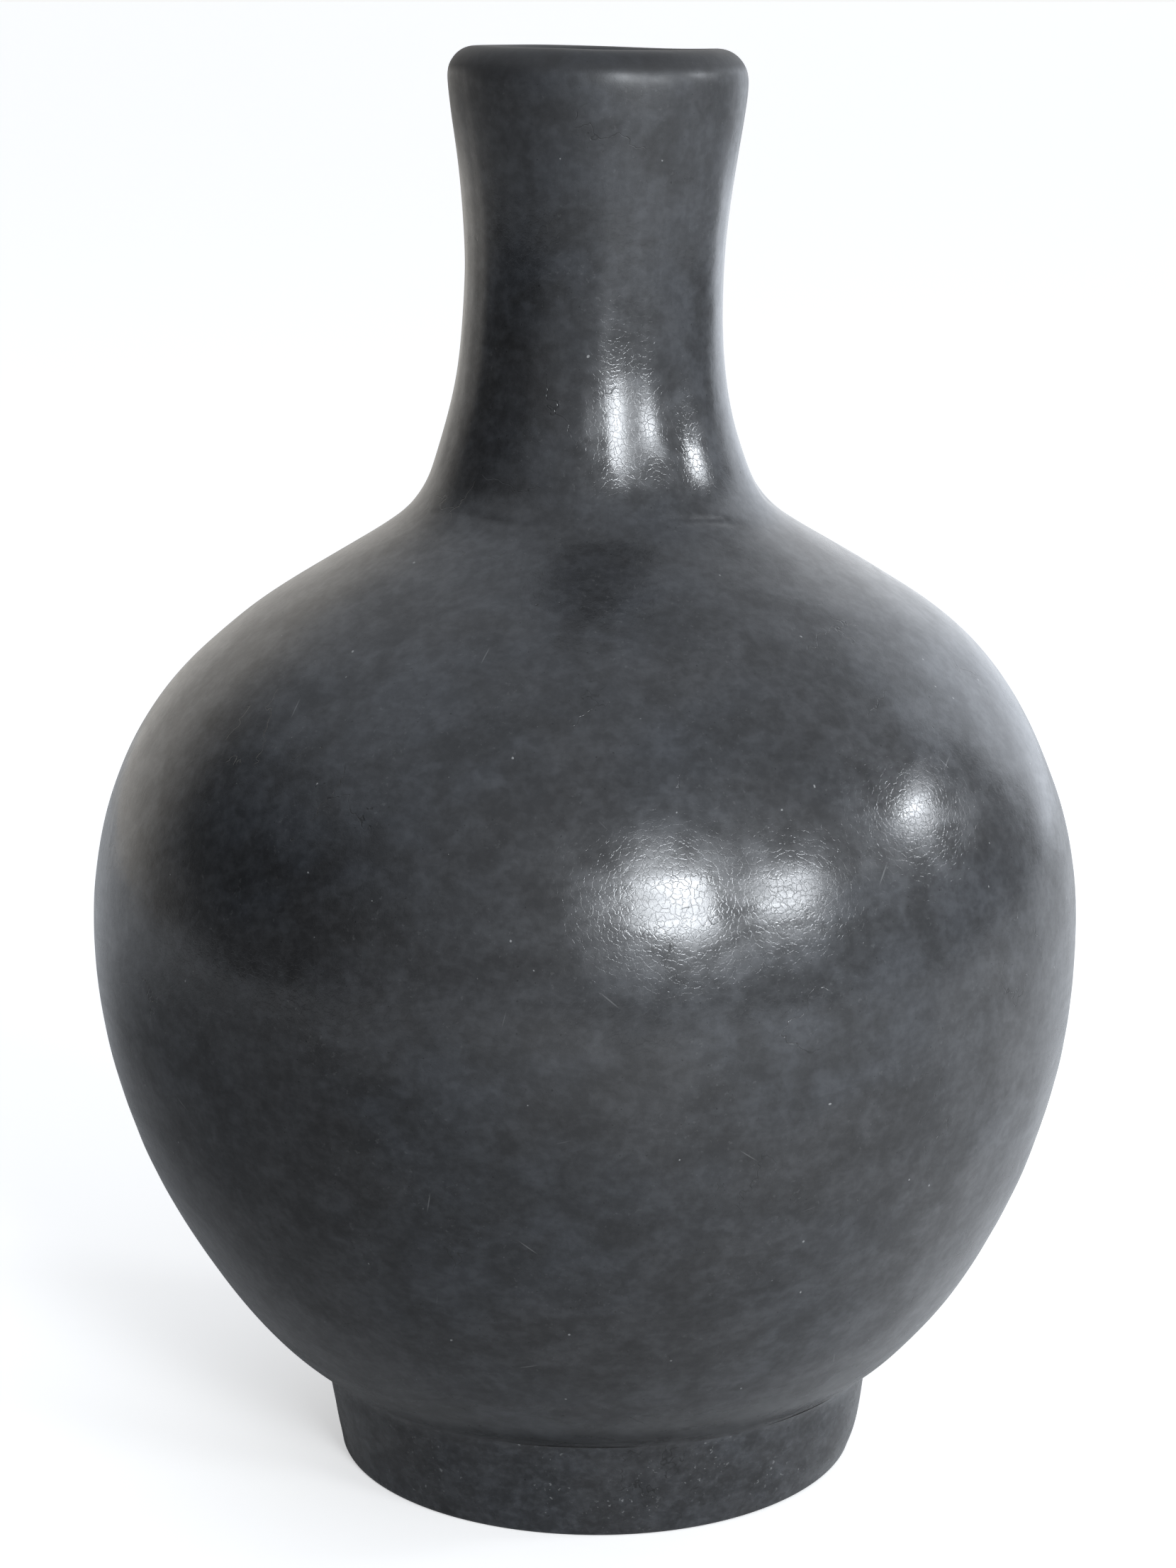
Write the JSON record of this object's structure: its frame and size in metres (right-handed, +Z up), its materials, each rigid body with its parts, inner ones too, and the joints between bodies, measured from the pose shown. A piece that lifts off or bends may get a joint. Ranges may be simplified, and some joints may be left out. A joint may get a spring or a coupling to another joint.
{
  "type": "black clay bottle vase",
  "caption": "Round-bellied black clay bottle vase on a ring foot, with a slender neck and a rolled lip, hand coiled and burnished.",
  "frame": {"origin": "centre of the foot ring, on the plane the pot stands on", "axes": "+Z up along the pot's axis, from the foot to the mouth; the pot is round, so +X and +Y are any two level directions"},
  "size_m": [0.2094, 0.2094, 0.3],
  "materials": {
    "burnished_clay": "reduction-fired black clay, burnished with a stone to an uneven graphite shine",
    "foot_clay": "the same black clay, burnished less, so it is mottled and half matte"
  },
  "bodies": {
    "root": {"foot_ring": "foot_clay", "base_bowl": "burnished_clay", "lower_belly_coil": "burnished_clay", "upper_belly_coil": "burnished_clay", "shoulder_coil": "burnished_clay", "lower_neck_coil": "burnished_clay", "upper_neck_coil": "burnished_clay", "lip_coil": "burnished_clay"}
  },
  "joints": []
}
